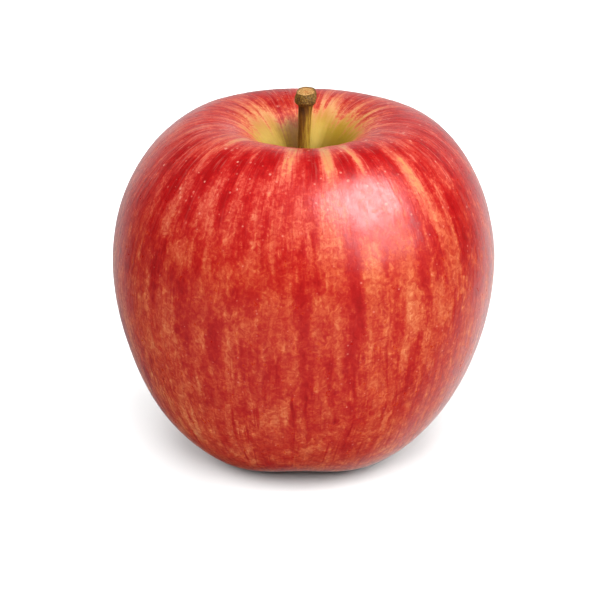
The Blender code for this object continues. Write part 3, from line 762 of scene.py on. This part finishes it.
def stem_material():
    m = Nodes("stem_bark_material")
    ring = m.attribute("stem_ring", "Vector")
    knob = m.attribute("knob")
    face = m.attribute("cut_face")
    reach = m.attribute("reach")
    shade = m.attribute("bark_shade")
    low = m.attribute("stem_low")
    place = m.vec("SCALE", m.node("ShaderNodeTexCoord").outputs["Object"], scale=1000.0)
    fibre = m.noise(m.vec("MULTIPLY", ring, (7.0, 7.0, 0.5)), 1.0, 3.0, 0.6)
    streak = m.noise(m.vec("MULTIPLY", ring, (2.6, 2.6, 0.16)), 1.0, 2.0, 0.5)
    speck = m.noise(place, 3.6, 3.0, 0.65)
    fine = m.noise(place, 9.0, 2.0, 0.6)

    def swing(value, strength):
        return m.math("MULTIPLY", m.math("SUBTRACT", value, 0.5), strength)

    # the bark's tone carries the painted shade of its side away from the key lamp
    tone = m.total(shade, swing(streak, 1.1), swing(fibre, 0.8), swing(speck, 0.35))
    shaft = m.ramp(
        tone,
        [
            (0.00, srgb(204, 170, 60)),
            (0.28, srgb(176, 138, 36)),
            (0.52, srgb(140, 98, 20)),
            (0.76, srgb(104, 64, 12)),
            (1.00, srgb(64, 38, 8)),
        ],
    )
    green = m.math("MULTIPLY", m.span(low, 0.75, 0.15), m.span(tone, 0.6, 0.2))
    shaft = m.mix(m.math("MULTIPLY", green, 0.35), shaft, srgb(158, 150, 50))
    crust = m.ramp(
        m.total(0.50, swing(speck, 1.5), swing(fine, 0.8), swing(fibre, 0.6)),
        [
            (0.00, srgb(48, 30, 6)),
            (0.35, srgb(88, 60, 14)),
            (0.60, srgb(128, 94, 26)),
            (0.85, srgb(176, 138, 54)),
            (1.00, srgb(214, 178, 92)),
        ],
    )
    colour = m.mix(m.span(m.math("ADD", knob, swing(speck, 0.5)), 0.15, 0.65), shaft, crust)
    wood = m.ramp(
        m.total(0.5, swing(speck, 1.6), swing(fine, 1.3)),
        [
            (0.00, srgb(104, 64, 24)),
            (0.30, srgb(160, 108, 50)),
            (0.55, srgb(198, 146, 78)),
            (0.80, srgb(222, 180, 116)),
            (1.00, srgb(240, 212, 160)),
        ],
    )
    pith = m.span(m.math("ADD", reach, swing(speck, 0.35)), 0.40, 0.05)
    wood = m.mix(m.math("MULTIPLY", pith, 0.65), wood, srgb(190, 112, 50))
    rim = m.span(m.math("ADD", reach, swing(speck, 0.22)), 0.80, 0.97)
    wood = m.mix(m.math("MULTIPLY", rim, 0.8), wood, srgb(92, 72, 44))
    colour = m.mix(face, colour, wood)
    rough = m.total(0.46, m.math("MULTIPLY", fibre, 0.16), m.math("MULTIPLY", knob, 0.22), m.math("MULTIPLY", face, 0.1))
    height = m.total(m.math("MULTIPLY", fibre, 0.8), m.math("MULTIPLY", speck, 0.7), m.math("MULTIPLY", fine, 0.5))
    bump = m.node("ShaderNodeBump", {"Strength": 0.6, "Distance": 0.00012, "Height": height})
    return m.finish(colour, rough, bump.outputs[0], Specular_IOR_Level=0.4)


stem = grid_object("apple_stem", stem_points, True, True, stem_material())
point_vectors(
    stem.data,
    "stem_ring",
    ends(np.concatenate([circle, zz[..., None]], -1).reshape(-1, 3), STEM_COLUMNS),
)
for name, field in (
    ("knob", np.maximum(knob, face)),
    ("cut_face", smooth((face - 0.5) * 4) * smooth(inward / 0.05)),
    ("reach", reach),
    # the bark is darker on the side away from the key lamp, a painted shade, and darker at the neck under the knob
    ("bark_shade", 0.36 + 0.30 * np.cos(pp - math.radians(205)) + 0.30 * np.exp(-(((zz - NECK_Z) / 1.6) ** 2))),
    ("stem_low", along_stem),
):
    point_floats(stem.data, name, ends(field.ravel(), STEM_COLUMNS))
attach(stem, "root")
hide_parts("stem")

# ============================================================================
# the dried flower in the calyx
# ============================================================================
def dried_material(name, dark, middle, light, rim):
    m = Nodes(name)
    run = m.attribute("blade", "Vector")
    place = m.vec("SCALE", m.node("ShaderNodeTexCoord").outputs["Object"], scale=1000.0)
    vein = m.noise(m.vec("MULTIPLY", run, (0.35, 3.2, 1.0)), 1.0, 3.0, 0.6)
    fleck = m.noise(place, 2.6, 3.0, 0.6)
    down = m.noise(m.vec("MULTIPLY", run, (2.0, 14.0, 2.0)), 1.0, 2.0, 0.6)

    def swing(value, strength):
        return m.math("MULTIPLY", m.math("SUBTRACT", value, 0.5), strength)

    tone = m.total(m.attribute("tip"), swing(vein, 1.2), swing(fleck, 0.8))
    colour = m.ramp(tone, [(0.0, light), (0.45, middle), (0.9, dark)])
    colour = m.mix(m.span(down, 0.52, 0.75, 0.0, 0.45), colour, rim)
    height = m.total(m.math("MULTIPLY", vein, 1.0), m.math("MULTIPLY", down, 0.6), m.math("MULTIPLY", fleck, 0.5))
    bump = m.node("ShaderNodeBump", {"Strength": 0.6, "Distance": 0.00014, "Height": height})
    return m.finish(colour, m.math("ADD", 0.72, m.math("MULTIPLY", fleck, 0.2)), bump.outputs[0], Specular_IOR_Level=0.25)


sepal_mat = dried_material("dry_sepal_material", srgb(58, 40, 24), srgb(112, 82, 50), srgb(146, 128, 78), srgb(186, 168, 130))
stamen_mat = dried_material("dry_stamen_material", srgb(34, 24, 16), srgb(72, 50, 30), srgb(112, 82, 46), srgb(130, 104, 70))


def sepal_points(number):
    """Closed rows round one sepal: a dried, puckered blade whose edges roll
    in and whose tip curls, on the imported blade's middle line."""
    rows, half = 54, 15
    out = np.zeros((rows, 2 * half, 3))
    run = np.zeros((rows, 2 * half, 3))
    turn = LOBE_AT + 2.0 * math.pi * (number + 0.5) / SEPALS
    lean_x = LEAN * (SEPAL_FOOT_Z - WAIST_Z)
    for i in range(rows):
        t = i / (rows - 1)
        reach = SEPAL_FOOT_R - 1.35 * math.sin(math.pi * min(1.0, t * 1.15) * 0.62) + 1.5 * smooth((t - 0.6) / 0.4)
        height = SEPAL_FOOT_Z - 0.72 * SEPAL_LENGTH * t + 0.5 * smooth((t - 0.75) / 0.25)
        wide = SEPAL_WIDTH / 2 * (1.0 - 0.93 * t ** 1.25) * (1.0 + 0.05 * math.sin(9 * t + number))
        thick = SEPAL_THICK * (0.85 - 0.5 * t)
        for j in range(2 * half):
            outer = j < half
            u = (2.0 * (j if outer else 2 * half - 1 - j) + 1.0) / half - 1.0      # -1 to 1 across the blade
            u *= 1.03
            edge = thick / 2 * math.sqrt(max(0.02, 1.0 - min(1.0, abs(u)) ** 2.2))
            cup = 0.35 * wide * u * u
            pucker = 0.10 * math.sin(4.5 * u + 5.0 * t + 2.1 * number) + 0.07 * math.sin(11 * t + 3 * u + number) * abs(u)
            vein = 0.07 * math.exp(-((u / 0.14) ** 2)) - 0.03 * abs(math.sin(8.0 * u))
            side = wide * u
            lift = 0.12 * math.sin(7 * t + 1.7 * number) * u
            x = reach + (edge + vein if outer else -edge) - cup + pucker * (0.3 + t)
            out[i, j] = (
                x * math.cos(turn) - side * math.sin(turn) + lean_x,
                x * math.sin(turn) + side * math.cos(turn),
                height + lift,
            )
            run[i, j] = (t * SEPAL_LENGTH, side, number * 3.0 + (0.0 if outer else 1.5))
    return out, run


for number in range(SEPALS):
    points, run = sepal_points(number)
    sepal = grid_object("apple_sepal_%d" % (number + 1), points, True, True, sepal_mat)
    cols = points.shape[1]
    point_vectors(sepal.data, "blade", ends(run.reshape(-1, 3), cols))
    point_floats(sepal.data, "tip", ends(0.35 + 0.08 * run[..., 0].ravel(), cols))
    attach(sepal, "root")
    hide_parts("sepal_%d" % (number + 1))


def tube_rows(line, radii, cols, squash=1.0):
    """Closed rows of points round a line, with the line's own tangents."""
    line = np.asarray(line, float)
    ahead = np.gradient(line, axis=0)
    ahead /= np.linalg.norm(ahead, axis=1, keepdims=True)
    across = np.cross(ahead, (0.0, 1.0, 0.12))
    across /= np.linalg.norm(across, axis=1, keepdims=True)
    other = np.cross(ahead, across)
    angle = np.arange(cols) / cols * 2 * math.pi
    radii = np.asarray(radii, float)[:, None, None]
    return line[:, None] + radii * (
        np.cos(angle)[None, :, None] * across[:, None] + squash * np.sin(angle)[None, :, None] * other[:, None]
    )


def tuft():
    """The boss of the dried styles, with the stamens hanging from it: each is
    a bent thread that ends in a split, shrivelled anther."""
    pieces = []
    shift = LEAN * (TUFT_Z - WAIST_Z)
    angle = np.arange(40) / 40 * 2 * math.pi
    rows = []
    for z, radius in (
        (TUFT_Z + 0.90, TUFT_R * 0.55), (TUFT_Z + 0.84, TUFT_R * 0.72), (TUFT_Z + 0.62, TUFT_R * 0.93), (TUFT_Z + 0.35, TUFT_R),
        (TUFT_Z + 0.10, TUFT_R * 0.98), (TUFT_Z - 0.05, TUFT_R * 0.86), (TUFT_Z - 0.12, TUFT_R * 0.60), (TUFT_Z - 0.02, TUFT_R * 0.25),
    ):
        wobble = 1.0 - 0.05 * (1 + np.sin(5 * angle + z * 3)) * 0.5 - 0.03 * (1 + np.sin(13 * angle)) * 0.5
        rows.append(np.stack([radius * wobble * np.cos(angle) + shift, radius * wobble * np.sin(angle), np.full(40, z)], -1))
    pieces.append(np.array(rows)[::-1])
    for k in range(22):
        turn = 2.39996 * k
        ring_r = TUFT_R * 0.80 * math.sqrt((k + 0.5) / 22)
        length = FILAMENT_LENGTH * (0.62 + 0.36 * (0.5 + 0.5 * math.cos(1.9 * k)))
        t = np.linspace(-0.08, 1.0, 30)
        spread = ring_r * (1.0 - 0.20 * np.maximum(t, 0.0)) + 0.10 * np.sin(6 * t + k)
        sway = 0.16 * np.sin(3.0 * t + k)
        bend = turn + 0.35 * np.sin(2.2 * t + 1.3 * k)
        line = np.stack([spread * np.cos(bend) + sway + shift, spread * np.sin(bend), TUFT_Z - length * t], -1)
        anther = np.exp(-(((t - 0.93) / 0.055) ** 2))
        radii = (0.075 - 0.02 * t) * (1.0 + 0.15 * np.sin(30 * t + k)) + 0.13 * anther
        radii[-1] *= 0.4
        pieces.append(tube_rows(line, radii, 10, 0.8))
    return pieces


tuft_verts, tuft_faces, tuft_run, tuft_tip = [], [], [], []
count = 0
for part, points in enumerate(tuft()):
    rows, cols, _ = points.shape
    base = count
    tuft_verts.append(points.reshape(-1, 3))
    i, j = np.meshgrid(np.arange(rows - 1), np.arange(cols), indexing="ij")
    k = (j + 1) % cols
    quads = np.stack([base + i * cols + j, base + i * cols + k, base + (i + 1) * cols + k, base + (i + 1) * cols + j], -1)
    tuft_faces += quads.reshape(-1, 4).tolist()
    tuft_faces.append([base + c for c in range(cols)][::-1])
    tuft_faces.append([base + (rows - 1) * cols + c for c in range(cols)])
    tuft_run.append(points.reshape(-1, 3)[:, [2, 0, 1]] * (1.0, 1.0, 1.0) + (part * 5.0, 0.0, 0.0))
    tuft_tip.append(np.repeat(np.linspace(0.2, 0.7, rows), cols))
    count += rows * cols
tuft_mesh = bpy.data.meshes.new("apple_stamens")
tuft_mesh.from_pydata((np.concatenate(tuft_verts) * MM).tolist(), [], tuft_faces)
tuft_mesh.update()
tuft_mesh.shade_smooth()
tuft_mesh.materials.append(stamen_mat)
point_vectors(tuft_mesh, "blade", np.concatenate(tuft_run))
point_floats(tuft_mesh, "tip", np.concatenate(tuft_tip))
stamens = bpy.data.objects.new("apple_stamens", tuft_mesh)
bpy.context.scene.collection.objects.link(stamens)
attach(stamens, "root")
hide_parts("stamen_tuft")

# ============================================================================
# camera, floor and light
# ============================================================================
scene = bpy.context.scene
ELEVATION = math.radians(22.5)
TARGET = Vector((-0.55, 0.0, 30.9)) * MM
DISTANCE = 0.600
camera_data = bpy.data.cameras.new("camera")
camera_data.sensor_width = 36.0
camera_data.lens = 4.86 * 600.0 * 36.0 / 600.0
camera_data.clip_start, camera_data.clip_end = 0.01, 20.0
camera = bpy.data.objects.new("camera", camera_data)
scene.collection.objects.link(camera)
camera.location = TARGET + DISTANCE * Vector((0.0, -math.cos(ELEVATION), math.sin(ELEVATION)))
camera.rotation_euler = (math.pi / 2 - ELEVATION, 0.0, 0.0)
scene.camera = camera

floor_nodes = Nodes("floor_material")
bounced = floor_nodes.node("ShaderNodeLightPath").outputs["Is Diffuse Ray"]
floor_mat = floor_nodes.finish(floor_nodes.mix(bounced, (0.30, 0.30, 0.30, 1.0), (0.195, 0.195, 0.195, 1.0)), 0.9)
floor_mesh = bpy.data.meshes.new("floor")
half = 3.0
floor_mesh.from_pydata([(-half, -half, 0), (half, -half, 0), (half, half, 0), (-half, half, 0)], [], [(0, 1, 2, 3)])
floor_mesh.materials.append(floor_mat)
floor = bpy.data.objects.new("floor", floor_mesh)
floor.location.z = -0.00002
scene.collection.objects.link(floor)
floor.visible_glossy = False


def area(name, at, towards, size, power, colour=(1, 1, 1), size_y=None):
    data = bpy.data.lights.new(name, "AREA")
    data.shape = "RECTANGLE" if size_y else "SQUARE"
    data.size = size
    if size_y:
        data.size_y = size_y
    data.energy = power
    data.color = colour
    lamp = bpy.data.objects.new(name, data)
    lamp.location = at
    lamp.rotation_mode = "QUATERNION"
    lamp.rotation_quaternion = (Vector(towards) - Vector(at)).to_track_quat("-Z", "Y")
    lamp.visible_camera = False
    scene.collection.objects.link(lamp)
    return lamp


def seen_by(lamp, diffuse, glossy):
    lamp.visible_diffuse, lamp.visible_glossy = diffuse, glossy


MIDDLE = Vector((0.0, 0.0, 0.035))
key = area("key", MIDDLE + Vector((0.44, -0.53, 0.73)), MIDDLE, 0.95, 10.8)
seen_by(key, True, False)
gloss = area("key_gloss", MIDDLE + Vector((0.51, -0.34, 0.80)), MIDDLE, 0.64, 11.4)
seen_by(gloss, False, True)
halo = area("key_halo", MIDDLE + Vector((0.64, -0.46, 0.62)), MIDDLE, 0.95, 10.0)
seen_by(halo, False, True)
top = area("top", (-0.22, -0.08, 0.8), MIDDLE, 2.2, 12.0)
seen_by(top, True, False)

# the floor has a broad lamp of its own, so that it is white up to the fruit's contact
floor_only = bpy.data.collections.new("floor_only")
floor_only.objects.link(floor)
for lamp in (
    area("floor_top", (0.05, -0.15, 0.90), (0.05, -0.15, 0), 1.8, 13.5),
    area("floor_front", (0.06, -0.70, 0.74), (0, 0, 0), 0.8, 35.0),
    area("floor_left", (-0.76, -0.02, 0.42), (0, 0, 0), 0.6, 16.5),
    area("floor_right", (0.76, 0.04, 0.42), (0, 0, 0), 0.6, 25.0),
    area("floor_back", (0.0, 1.00, 0.90), (0, 0.4, 0), 1.4, 26.0),
):
    lamp.light_linking.receiver_collection = floor_only
not_floor = bpy.data.collections.new("not_floor")
not_floor.objects.link(floor)
not_floor.collection_objects[0].light_linking.link_state = "EXCLUDE"
for lamp in (key, gloss, halo, top):
    lamp.light_linking.receiver_collection = not_floor

world = bpy.data.worlds.new("world")
world.use_nodes = True
scene.world = world
wt = world.node_tree
wt.nodes.clear()


def world_node(kind, inputs=None, **props):
    n = wt.nodes.new(kind)
    for key, value in props.items():
        setattr(n, key, value)
    for key, value in (inputs or {}).items():
        if isinstance(value, bpy.types.NodeSocket):
            wt.links.new(value, n.inputs[key])
        else:
            n.inputs[key].default_value = value
    return n


def span(value, lo, hi, to_lo=0.0, to_hi=1.0):
    return world_node("ShaderNodeMapRange", {0: value, 1: lo, 2: hi, 3: to_lo, 4: to_hi}, interpolation_type="SMOOTHSTEP").outputs[0]


def times(a, b, plus=0.0):
    return world_node("ShaderNodeMath", {0: a, 1: b, 2: plus}, operation="MULTIPLY_ADD").outputs[0]


def towards(x, y, z, lo, hi):
    """1 towards a direction, falling to 0 where the cosine of the angle to it is lo."""
    aim = Vector((x, y, z)).normalized()
    dot = world_node("ShaderNodeVectorMath", {0: way, 1: aim}, operation="DOT_PRODUCT").outputs["Value"]
    return span(dot, lo, hi)


# a dim studio with a pale wall behind, brighter above the horizon and at the lower right
way = world_node("ShaderNodeTexCoord").outputs["Generated"]
xyz = world_node("ShaderNodeSeparateXYZ", {0: way})
x, y, z = xyz.outputs
behind = times(span(y, 0.35, 0.70), span(z, -0.70, -0.44))
right = times(span(x, -0.06, 0.20), span(x, 0.90, 0.50))
right = times(right, times(span(z, 0.62, 0.25), span(z, 0.05, 0.40, 1.0, 0.75)))
left = times(span(x, 0.00, -0.16), span(x, -0.88, -0.52))
left = times(left, times(span(z, -0.55, -0.25, 0.35, 1.0), span(z, 0.48, -0.08)))
middle = times(times(span(x, -0.42, -0.12), span(x, 0.40, 0.10)), span(z, 0.82, 0.40))
level = times(behind, times(right, 0.42, times(left, 0.46, times(middle, 0.26))), 0.03)
level = times(towards(0.50, 0.65, -0.57, 0.80, 0.96), 0.55, level)
seen = world_node("ShaderNodeLightPath").outputs["Is Camera Ray"]
level = world_node("ShaderNodeMix", {0: seen, 2: level, 3: 1.0})
sky = world_node("ShaderNodeBackground", {0: (1, 1, 1, 1), 1: level.outputs[0]})
wt.links.new(sky.outputs[0], world_node("ShaderNodeOutputWorld").inputs[0])

scene.view_settings.view_transform = "Standard"
